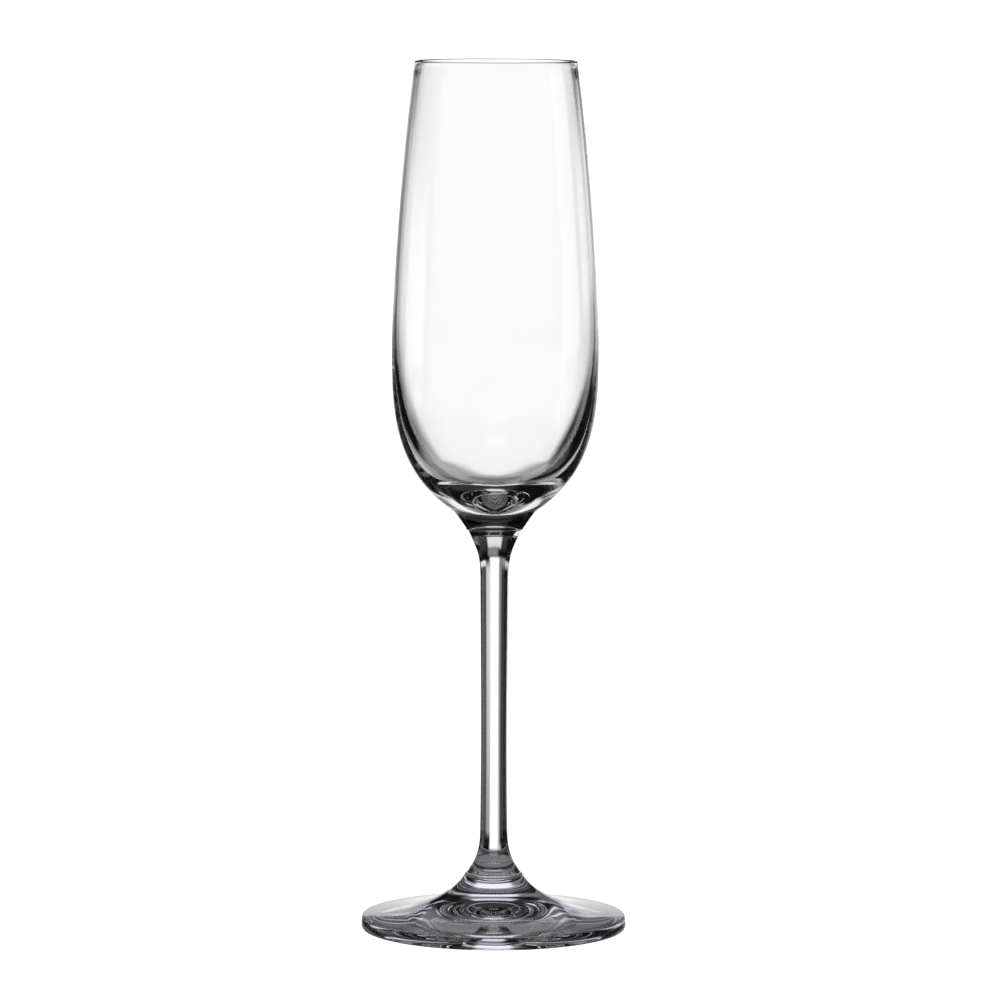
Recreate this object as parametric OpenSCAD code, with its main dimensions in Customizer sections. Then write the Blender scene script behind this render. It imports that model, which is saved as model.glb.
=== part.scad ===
// Champagne flute of clear glass, in the three-piece form: a blown bowl, a drawn stem and a
// pressed foot, fused end to end while hot. All three are bodies of revolution about Z.
// Millimetres, +Z up, origin on the table plane under the middle of the foot.

/* [Overall] */
// Height of the rim above the table
height = 225; // [215:1:240]

/* [Bowl] */
// Outer diameter at the rim
rim_d = 41.9; // [38:0.1:46]
// Outer diameter at the widest place
belly_d = 53.4; // [50:0.1:58]
// Height of the widest place above the table
belly_z = 152; // [148:0.5:158]
// Wall thickness at the rim
rim_wall = 1.0; // [0.8:0.05:1.4]
// Wall thickness at the widest place
belly_wall = 1.15; // [0.9:0.05:1.6]
// Height of the inside bottom above the table
floor_z = 112; // [110:0.5:115]
// Height above the table where the inside is widest
hollow_z = 154.5; // [150:0.5:160]
// Inner diameter where the side of the hollow turns in to its bottom
well_d = 29.9; // [27:0.1:32]
// Height of that turn above the table
well_z = 119.1; // [118:0.1:121]
// Outer diameter where the round heel turns into the neck
heel_d = 26.2; // [22:0.1:30]
// Height of that turn above the table
heel_z = 110.7; // [109:0.1:113]
// Outer diameter of the neck at its lower end
neck_d = 15.0; // [13:0.1:17]

/* [Stem] */
// Height of the joint with the bowl
bowl_joint_z = 104; // [102:0.5:106]
// Height of the joint with the foot
foot_joint_z = 14.5; // [13:0.5:16]
// Diameter of the shaft at its thick upper end
shaft_top_d = 7.34; // [6:0.02:9]
// Diameter of the shaft at its thin lower end
shaft_low_d = 7.1; // [6:0.02:9]
// Length of the flare under the bowl
top_flare = 14; // [12:0.5:18]
// Length of the flare above the foot
low_flare = 11; // [9:0.5:14]

/* [Foot] */
// Diameter of the foot
foot_d = 68.8; // [60:0.1:76]
// Thickness of the foot at its rounded edge
foot_edge = 3.3; // [2.4:0.1:4]
// Diameter of the collar that the stem stands on
collar_d = 15.1; // [13:0.1:17]
// Width of the flat ring that the foot rests on
rest_w = 2; // [1.5:0.1:4]
// Rise of the hollow underside in the middle
dome_rise = 4.3; // [3:0.1:6]

/* [Hidden] */
$fn = 128;

bowl_colour = [0.86, 0.9, 0.91, 0.45];
stem_colour = [0.8, 0.85, 0.87, 0.55];
foot_colour = [0.74, 0.77, 0.84, 0.55];

rim_r = rim_d / 2;
belly_r = belly_d / 2;
heel_r = heel_d / 2;
neck_r = neck_d / 2;
well_r = well_d / 2;
shaft_top_r = shaft_top_d / 2;
shaft_low_r = shaft_low_d / 2;
collar_r = collar_d / 2;

// Soft round that the fire leaves on the bowl and on the foot at each fused joint,
// and the radii of the stem's two end faces, which meet what is left flat inside it
joint_round = 0.6;
top_face_r = neck_r - joint_round;
low_face_r = collar_r - joint_round;

// How far the foot's rounded edge stands out, and the radii where its top and its flat ring end
edge_r = 0.15 * foot_edge;
plate_r = foot_d / 2 - edge_r;
dome_r = plate_r - rest_w;

// Directions of the outline, in degrees from vertical
heel_angle = 52;
well_angle = 48;
neck_angle = 35;
flare_angle = 25;
collar_angle = 31;
// Radius that the bowl gains for each millimetre down from the rim
rim_taper = 0.13;
// Height that the foot gains for each millimetre in from its edge
plate_slope = 0.07;

// Lengths of the curves' handles, upper end first
side_pull = [32, 7];
hollow_pull = [19.2, 8.4];
well_pull = [4.1, 2.5];
heel_pull = [14, 17.7];
neck_pull = [4, 5.8];
top_flare_pull = [6.7, 7.2];
low_flare_pull = [7.5, 1.5];
plate_pull = [7.3, 12];

// Steps in a long curve and in a quarter round
curve_steps = 28;
round_steps = 8;

// Unit steps in the plane of the outline, at an angle from vertical
function up_out(angle) = [sin(angle), cos(angle)];
function down_out(angle) = [sin(angle), -cos(angle)];

// The point at t, from 0 to 1, on the cubic curve from a to d with handles b and c
function cubic(a, b, c, d, t) =
    pow(1 - t, 3) * a + 3 * pow(1 - t, 2) * t * b + 3 * (1 - t) * pow(t, 2) * c + pow(t, 3) * d;

// The whole curve
function curve(a, b, c, d) = [for (i = [0:curve_steps]) cubic(a, b, c, d, i / curve_steps)];

// An elliptic arc, in quarters from a start angle; negative quarters run clockwise
function arc(centre, radii, start, quarters) =
    let (steps = round_steps * abs(quarters))
    [for (i = [0:steps])
        let (angle = start + 90 * quarters * i / steps)
        centre + [radii[0] * cos(angle), radii[1] * sin(angle)]];

// A list turned round, and a list without its first point, which joins it to the one before
function reversed(points) = [for (i = [len(points) - 1:-1:0]) points[i]];
function after_first(points) = [for (i = [1:len(points) - 1]) points[i]];

// One face of the bowl's side, from the rim down to its widest place, set in by a depth at each end
function side(rim_depth, low_depth, low_z) =
    let (top_r = rim_r - rim_depth, low_r = belly_r - low_depth)
    curve(
        [top_r, height - rim_wall / 2],
        [top_r + rim_taper * side_pull[0], height - side_pull[0]],
        [low_r, low_z + side_pull[1]],
        [low_r, low_z]
    );

// The bowl: a solid neck, a thin wall and a deep round hollow
module bowl() {
    turn = [heel_r, heel_z];
    neck = [neck_r, bowl_joint_z + joint_round];
    well = [well_r, well_z];
    hollow_r = belly_r - belly_wall;
    heel_curve = curve(
        [belly_r, belly_z],
        [belly_r, belly_z - heel_pull[0]],
        turn + heel_pull[1] * up_out(heel_angle),
        turn
    );
    neck_curve = curve(
        turn,
        turn - neck_pull[0] * up_out(heel_angle),
        neck + neck_pull[1] * up_out(neck_angle),
        neck
    );
    hollow_curve = curve(
        [hollow_r, hollow_z],
        [hollow_r, hollow_z - hollow_pull[0]],
        well + hollow_pull[1] * up_out(well_angle),
        well
    );
    well_curve = curve(
        well,
        well - well_pull[0] * up_out(well_angle),
        [well_pull[1], floor_z],
        [0, floor_z]
    );
    color(bowl_colour)
    rotate_extrude()
    polygon(concat(
        [[0, bowl_joint_z]],
        arc(neck - [joint_round, 0], [joint_round, joint_round], -90, 1),
        after_first(reversed(neck_curve)),
        after_first(reversed(heel_curve)),
        after_first(reversed(side(0, 0, belly_z))),
        after_first(arc([rim_r, height] - [rim_wall, rim_wall] / 2, [rim_wall, rim_wall] / 2, 0, 2)),
        after_first(side(rim_wall, belly_wall, hollow_z)),
        after_first(hollow_curve),
        after_first(well_curve)
    ));
}

// The stem: a slightly tapered shaft with a flare at each end
module stem() {
    top_end = [top_face_r, bowl_joint_z];
    low_end = [low_face_r, foot_joint_z];
    shaft_top = [shaft_top_r, bowl_joint_z - top_flare];
    shaft_low = [shaft_low_r, foot_joint_z + low_flare];
    color(stem_colour)
    rotate_extrude()
    polygon(concat(
        [[0, bowl_joint_z]],
        curve(
            top_end,
            top_end - top_flare_pull[0] * up_out(flare_angle),
            shaft_top + [0, top_flare_pull[1]],
            shaft_top
        ),
        curve(
            shaft_low,
            shaft_low - [0, low_flare_pull[0]],
            low_end - low_flare_pull[1] * down_out(flare_angle),
            low_end
        ),
        [[0, foot_joint_z]]
    ));
}

// The foot: a collar that sweeps out to a plate with a round edge, hollowed underneath
module foot() {
    collar = [collar_r, foot_joint_z - joint_round];
    edge = [plate_r, foot_edge];
    color(foot_colour)
    rotate_extrude()
    polygon(concat(
        [[0, foot_joint_z]],
        arc(collar - [joint_round, 0], [joint_round, joint_round], 90, -1),
        after_first(curve(
            collar,
            collar + plate_pull[0] * down_out(collar_angle),
            edge + plate_pull[1] * [-1, plate_slope],
            edge
        )),
        after_first(arc([plate_r, foot_edge / 2], [edge_r, foot_edge / 2], 90, -2)),
        [for (i = [curve_steps:-1:0])
            let (reach = i / curve_steps)
            [dome_r * reach, dome_rise * (1 + cos(180 * reach)) / 2]]
    ));
}

bowl();
stem();
foot();
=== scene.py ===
"""Champagne flute: three pieces of clear glass, lathed from the outlines of the CAD nodes."""

import math

import bmesh
import bpy
from mathutils import Matrix, Vector


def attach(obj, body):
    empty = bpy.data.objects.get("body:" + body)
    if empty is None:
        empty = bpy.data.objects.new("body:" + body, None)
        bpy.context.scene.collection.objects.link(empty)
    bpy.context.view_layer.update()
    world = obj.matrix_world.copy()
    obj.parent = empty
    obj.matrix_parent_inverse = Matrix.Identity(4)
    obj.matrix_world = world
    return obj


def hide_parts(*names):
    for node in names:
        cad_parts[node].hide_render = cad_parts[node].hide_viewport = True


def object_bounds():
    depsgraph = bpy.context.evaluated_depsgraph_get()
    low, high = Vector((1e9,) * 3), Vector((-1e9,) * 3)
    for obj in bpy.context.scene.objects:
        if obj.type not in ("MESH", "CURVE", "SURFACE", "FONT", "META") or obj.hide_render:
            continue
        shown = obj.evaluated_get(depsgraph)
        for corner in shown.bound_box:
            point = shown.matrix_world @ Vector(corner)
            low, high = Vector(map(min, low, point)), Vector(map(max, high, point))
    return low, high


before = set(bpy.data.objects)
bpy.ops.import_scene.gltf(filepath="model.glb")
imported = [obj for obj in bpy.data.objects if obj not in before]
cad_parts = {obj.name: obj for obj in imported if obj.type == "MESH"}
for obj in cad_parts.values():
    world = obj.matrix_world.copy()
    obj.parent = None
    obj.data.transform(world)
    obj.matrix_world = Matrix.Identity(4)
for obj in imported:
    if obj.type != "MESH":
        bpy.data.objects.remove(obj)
CAD_LOW, CAD_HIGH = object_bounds()
MIDDLE = (CAD_LOW + CAD_HIGH) / 2

# Lathe: vertices nearer than SAME_RING are on one ring, and points nearer than ON_A_LINE to a straight
# line are left out. The outline stays sharp where it bends by more than SHARP_BEND, and the shading
# where two faces meet at more than SHARP_EDGE.
SAME_RING = 20e-6
ON_A_LINE = 2e-7
SHARP_BEND = math.radians(13)
SHARP_EDGE = math.radians(30)
# How many faces go round each piece, and how finely each of its outline's stretches is divided
SEGMENTS = {"bowl": 224, "stem": 128, "foot": 256}
FINE_STEPS = {"bowl": 2, "stem": 3, "foot": 4}
LONGEST_STEP = 0.0015

# Glass: how strongly it bends light, between which values its roughness varies, how fine that pattern is,
# and for each kind of glass its tint and how far its surface goes up and down
GLASS_IOR = 1.52
GLASS_ROUGHNESS = (0.0, 0.02)
PATCHES_PER_METRE = 90
CLEAR = ((0.995, 0.995, 0.995), 15e-6)
COOL = ((0.86, 0.86, 0.98), 40e-6)

# Camera: where it stands and how it looks at the flute
CAMERA_BACK = 1.45
CAMERA_UP = 0.263
CAMERA_SIDE = 0.00135
CAMERA_LENS = 203.1
CAMERA_SENSOR = 36
CAMERA_PITCH = math.radians(5.955)
CAMERA_ROLL = math.radians(0.18)

# Studio: what the glass sees round it. Each light is a patch with soft edges, given as the azimuths
# of its left and right edge from straight behind the flute, its lowest and highest elevation, the
# width of the soft edge, all in degrees, and its strength. Later ones lie over earlier ones.
ROOM = 0.005
STUDIO = {
    "ceiling": (-30, 60, 20, 75, 12, 0.04),
    "table_dim": (-16, 14, -64, -36, 8, 0.24),
    "table_left": (-42, -18, -60, -34, 8, 0.3),
    "table_right": (24, 42, -60, -34, 8, 0.1),
    "backdrop_low": (-22, 13, -38, -24, 8, 0.5),
    "slope_right": (6, 26, -12, 0, 12, 0.72),
    "slope_left": (-17, 0, -30, 4, 10, 0.6),
    "grey_right": (36, 64, -13, 3, 6, 0.03),
    "grey_left": (-34, -12, -2, 8, 6, 0.25),
    "edge_left": (-21, -13, -9, 2, 5, 0.22),
    "backdrop": (-12, 12, -28, 8, 5, 1.12),
    "backdrop_top": (-8, 16, 10, 20, 6, 0.25),
    "neck_light": (-14, 14, 21, 32, 4, 0.85),
    "horizon_left": (-62, -34, -2, 5, 3, 0.6),
    "horizon_right": (26, 62, -1, 5, 3, 0.9),
    "softbox_left": (-92, -60, -12, 5, 6, 1.1),
    "window_left": (-180, -92, -16, -6, 4, 0.4),
    "window_right": (92, 180, -17, -7, 4, 0.6),
    "wall_right": (92, 130, 10, 32, 8, 0.2),
    "front_light": (162, 198, 30, 43, 5, 0.8),
}

# The shell that carries the studio: degrees from one of its vertices to the next, and its radius
SHELL_STEP = 2
SHELL_RADIUS = 2.0

# The table under the foot, which only the glass sees, glows with its light and shade painted in: how bright
# it is in the middle and, in rings of these radii, at the front (-Y) and at the back
TABLE_MIDDLE_LIGHT = 0.2
TABLE_LIGHT_RINGS = {0.01: (0.2, 0.2), 0.014: (0.03, 0.03), 0.026: (0.02, 0.02), 0.036: (0.02, 0.3)}

# The floor, which only the camera sees, lies just below the foot, and the disc of painted table light and
# shade between them
FLOOR_LIGHT = 1.2
FLOOR_RADIUS = 30.0
FLOOR_Z = -0.0002
TABLE_Z = FLOOR_Z / 2
ROUND = 96

BOUNCES = 32


# ---------------------------------------------------------------- helpers


def eased(value):
    t = min(max(value, 0), 1)
    return t * t * (3 - 2 * t)


def new_object(name, vertices, faces, *materials):
    mesh = bpy.data.meshes.new(name)
    mesh.from_pydata(vertices, [], faces)
    for material in materials:
        mesh.materials.append(material)
    made = bpy.data.objects.new(name, mesh)
    bpy.context.collection.objects.link(made)
    return made


# ---------------------------------------------------------------- outlines


def rings_of(mesh):
    """The CAD mesh's rings as (radius, height), and for each ring the rings it shares a face with."""
    ring_in, ring_at, members = {}, [], []
    around = [(i, j) for i in (0, -1, 1) for j in (0, -1, 1)]
    for vertex in mesh.vertices:
        x, y, z = vertex.co
        r = math.hypot(x, y)
        u, v = round(r / SAME_RING), round(z / SAME_RING)
        ring = next((ring_in[u + i, v + j] for i, j in around if (u + i, v + j) in ring_in), None)
        if ring is None:
            ring = ring_in[u, v] = len(members)
            members.append([])
        members[ring].append((r, z))
        ring_at.append(ring)
    rings = [Vector([sum(axis) / len(ring) for axis in zip(*ring)]) for ring in members]
    beside = [set() for _ in rings]
    for face in mesh.polygons:
        touched = {ring_at[i] for i in face.vertices}
        for ring in touched:
            beside[ring] |= touched - {ring}
    return rings, beside


def outline(node):
    """The node's outline, from the end that is lower to the other, without points on a straight line."""
    rings, beside = rings_of(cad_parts[node].data)
    at = min((i for i, others in enumerate(beside) if len(others) == 1), key=lambda i: rings[i].y)
    path, seen = [], set()
    while at is not None:
        path.append(rings[at])
        seen.add(at)
        at = next((i for i in beside[at] if i not in seen), None)
    kept = [path[0]]
    for point, after in zip(path[1:], path[2:]):
        along = (after - kept[-1]).normalized()
        if abs(along.cross(point - kept[-1])) > ON_A_LINE:
            kept.append(point)
    return [*kept, path[-1]]


def directions(points):
    """The outline's direction as it comes to each point and as it leaves, which differ at a sharp bend."""
    spans = [b - a for a, b in zip(points, points[1:])]
    into, out = [None] * len(points), [None] * len(points)
    into[-1], out[0] = spans[-1].normalized(), spans[0].normalized()
    for end, way in ((0, out), (-1, into)):
        if points[end].x < SAME_RING:
            way[end] = Vector((math.copysign(1, way[end].x), 0))
    for i in range(1, len(points) - 1):
        before, after = spans[i - 1], spans[i]
        sharp = before.angle(after) > SHARP_BEND
        a, b = before.normalized(), after.normalized()
        mean = (a * after.length + b * before.length) / (before.length + after.length)
        into[i], out[i] = (a, b) if sharp else (mean, mean)
    return into, out


def smooth(points, steps):
    """The outline as one smooth curve through its points, which stays sharp where it bends sharply."""
    into, out = directions(points)
    low = min(p.y for p in points)
    curve = [points[0]]
    for i, (start, end) in enumerate(zip(points, points[1:])):
        length = (end - start).length
        count = max(steps, math.ceil(length / LONGEST_STEP))
        for k in range(1, count + 1):
            t = k / count
            ease = eased(t)
            leaving = out[i] * length * t * (1 - t) ** 2
            coming = into[i + 1] * length * t * t * (1 - t)
            point = start * (1 - ease) + end * ease + leaving - coming
            curve.append(Vector((max(point.x, 0), max(point.y, low))))
    return curve


# ---------------------------------------------------------------- pieces


def turned(points, count):
    """The vertices of a body of revolution, and its rows of them. A point on the axis is a row of one."""
    turns = [2 * math.pi * i / count for i in range(count)]
    vertices, rows = [], []
    for radius, height in points:
        if radius < SAME_RING:
            rows.append([len(vertices)])
            vertices.append((0, 0, height))
        else:
            rows.append(range(len(vertices), len(vertices) + count))
            vertices += [(radius * math.cos(a), radius * math.sin(a), height) for a in turns]
    return vertices, rows


def bands(rows, count):
    """The faces from each row of vertices to the next."""
    faces = []
    for low, high in zip(rows, rows[1:]):
        for i in range(count):
            j = (i + 1) % count
            if len(low) == 1:
                faces.append((low[0], high[j], high[i]))
            elif len(high) == 1:
                faces.append((low[i], low[j], high[0]))
            else:
                faces.append((low[i], low[j], high[j], high[i]))
    return faces


def with_normals_out(mesh):
    work = bmesh.new()
    work.from_mesh(mesh)
    bmesh.ops.recalc_face_normals(work, faces=work.faces)
    work.to_mesh(mesh)
    work.free()


def lathe(node, glass, fused):
    """A closed glass body on the node's outline. Its flat end faces, where it is fused, are see-through."""
    count = SEGMENTS[node]
    vertices, rows = turned(smooth(outline(node), FINE_STEPS[node]), count)
    walls = bands(rows, count)
    ends = [tuple(row) for row in (rows[0], rows[-1]) if len(row) > 1]
    piece = new_object(f"{node}_glass_body", vertices, walls + ends, glass, fused)
    mesh = piece.data
    for face in mesh.polygons:
        face.use_smooth = face.index < len(walls)
        face.material_index = int(face.index >= len(walls))
    mesh.validate()
    mesh.update()
    with_normals_out(mesh)
    mesh.set_sharp_from_angle(angle=SHARP_EDGE)
    return piece


# ---------------------------------------------------------------- materials


def new_material(name, kind):
    """A material with one shader of this kind. Gives the material, its node tree and the shader."""
    material = bpy.data.materials.new(name)
    material.use_nodes = True
    tree = material.node_tree
    tree.nodes.clear()
    out = tree.nodes.new("ShaderNodeOutputMaterial")
    shader = tree.nodes.new(kind)
    tree.links.new(shader.outputs[0], out.inputs["Surface"])
    return material, tree, shader


def glass_material(name, tint, unevenness):
    """Glass polished by fire: its surface is very slightly uneven, and not equally glossy everywhere."""
    material, tree, shader = new_material(name, "ShaderNodeBsdfPrincipled")
    shader.inputs["Base Color"].default_value = (*tint, 1)
    shader.inputs["IOR"].default_value = GLASS_IOR
    shader.inputs["Transmission Weight"].default_value = 1.0
    place = tree.nodes.new("ShaderNodeTexCoord")
    patches = tree.nodes.new("ShaderNodeTexNoise")
    patches.inputs["Scale"].default_value = PATCHES_PER_METRE
    patches.inputs["Detail"].default_value = 1.0
    gloss = tree.nodes.new("ShaderNodeMapRange")
    gloss.inputs["To Min"].default_value, gloss.inputs["To Max"].default_value = GLASS_ROUGHNESS
    bump = tree.nodes.new("ShaderNodeBump")
    bump.inputs["Distance"].default_value = unevenness
    tree.links.new(place.outputs["Object"], patches.inputs["Vector"])
    tree.links.new(patches.outputs["Fac"], gloss.inputs["Value"])
    tree.links.new(gloss.outputs["Result"], shader.inputs["Roughness"])
    tree.links.new(patches.outputs["Fac"], bump.inputs["Height"])
    tree.links.new(bump.outputs["Normal"], shader.inputs["Normal"])
    return material


# ---------------------------------------------------------------- stage


def share_of(light, azimuth, elevation):
    """How far a direction is inside a light's soft-edged patch, from 0 to 1."""
    left, right, low, high, soft = light
    off = (azimuth - (left + right) / 2 + 180) % 360 - 180
    across = (right - left) / 2 - abs(off)
    upright = min(elevation - low, high - elevation)
    return eased(across / soft + 0.5) * eased(upright / soft + 0.5)


def brightness(azimuth, elevation):
    value = ROOM
    for *light, strength in STUDIO.values():
        share = share_of(light, azimuth, elevation)
        value += (strength - value) * share
    return value


def glowing(name, vertices, faces, values):
    """A mesh that gives off light, as strong at each vertex as its value."""
    material, tree, shader = new_material(name, "ShaderNodeEmission")
    made = new_object(name, vertices, faces, material)
    light = made.data.attributes.new("light", "FLOAT", "POINT")
    light.data.foreach_set("value", values)
    reader = tree.nodes.new("ShaderNodeAttribute")
    reader.attribute_name = "light"
    tree.links.new(reader.outputs["Fac"], shader.inputs["Strength"])
    return made


def only_for_glass(made):
    """Leaves an object of the stage to be seen in glass alone, by reflection and by refraction."""
    made.visible_camera = False
    made.visible_diffuse = False
    made.visible_shadow = False
    made.visible_volume_scatter = False


def add_studio(camera):
    """A glowing shell round the flute. It turns with the camera, so that each view has the same studio."""
    across, up = round(360 / SHELL_STEP), round(180 / SHELL_STEP)
    vertices, values = [], []
    for k in range(up + 1):
        for i in range(across):
            azimuth, elevation = SHELL_STEP * i - 180, SHELL_STEP * k - 90
            u, v = math.radians(azimuth), math.radians(elevation)
            way = Vector((math.sin(u) * math.cos(v), math.cos(u) * math.cos(v), math.sin(v)))
            vertices.append(MIDDLE + SHELL_RADIUS * way)
            values.append(brightness(azimuth, elevation))
    rows = [range(k * across, (k + 1) * across) for k in range(up + 1)]
    shell = glowing("studio", vertices, bands(rows, across), values)
    shell.parent = camera
    shell.matrix_parent_inverse = camera.matrix_world.inverted()
    only_for_glass(shell)


def add_table_light_and_shade():
    """A glowing disc on the table under the foot: the table's painted light and shade, in rings that change
    gradually from front to back.
    """
    vertices, rows = turned([(radius, TABLE_Z) for radius in (0, *TABLE_LIGHT_RINGS)], ROUND)
    # painted light and shade of the table: dim in the middle, dark in the outer rings, lighter at the back
    # of the outermost ring
    values = [TABLE_MIDDLE_LIGHT]
    for front, back in TABLE_LIGHT_RINGS.values():
        for i in range(ROUND):
            far = 0.5 + 0.5 * math.sin(2 * math.pi * i / ROUND)
            values.append(front + (back - front) * eased(far))
    only_for_glass(glowing("table_light_and_shade", vertices, bands(rows, ROUND), values))


def add_floor():
    """A plain pale floor for the camera alone. What the glass sees of a floor belongs to the studio."""
    material, _, shader = new_material("floor", "ShaderNodeEmission")
    shader.inputs["Strength"].default_value = FLOOR_LIGHT
    ring, rows = turned([(FLOOR_RADIUS, FLOOR_Z)], ROUND)
    floor = new_object("floor", ring, [tuple(rows[0])], material)
    floor.visible_glossy = False
    floor.visible_transmission = False
    floor.visible_shadow = False


def set_world():
    """A plain pale light beyond the floor, a little dimmer than it, as a Background is light grey."""
    world = bpy.data.worlds.new("studio")
    bpy.context.scene.world = world
    world.use_nodes = True
    tree = world.node_tree
    tree.nodes.clear()
    out = tree.nodes.new("ShaderNodeOutputWorld")
    light = tree.nodes.new("ShaderNodeBackground")
    light.inputs["Strength"].default_value = FLOOR_LIGHT
    tree.links.new(light.outputs[0], out.inputs["Surface"])


def add_camera():
    data = bpy.data.cameras.new("camera")
    data.lens = CAMERA_LENS
    data.sensor_width = CAMERA_SENSOR
    camera = bpy.data.objects.new("camera", data)
    bpy.context.collection.objects.link(camera)
    place = Matrix.Translation((CAMERA_SIDE, -CAMERA_BACK, CAMERA_UP))
    pitch = Matrix.Rotation(math.radians(90) - CAMERA_PITCH, 4, "X")
    camera.matrix_world = place @ pitch @ Matrix.Rotation(CAMERA_ROLL, 4, "Z")
    bpy.context.scene.camera = camera
    return camera


# ---------------------------------------------------------------- scene


camera = add_camera()
clear = glass_material("clear_glass", *CLEAR)
cool = glass_material("cool_glass", *COOL)
fused, _, _ = new_material("fused_joint", "ShaderNodeBsdfTransparent")
for node, glass in (("bowl", clear), ("stem", clear), ("foot", cool)):
    piece = lathe(node, glass, fused)
    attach(piece, "root")
    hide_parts(node)

add_studio(camera)
add_table_light_and_shade()
add_floor()
set_world()

scene = bpy.context.scene
scene.view_settings.view_transform = "Standard"
scene.cycles.max_bounces = BOUNCES
scene.cycles.transmission_bounces = BOUNCES
scene.cycles.glossy_bounces = BOUNCES
scene.cycles.transparent_max_bounces = BOUNCES
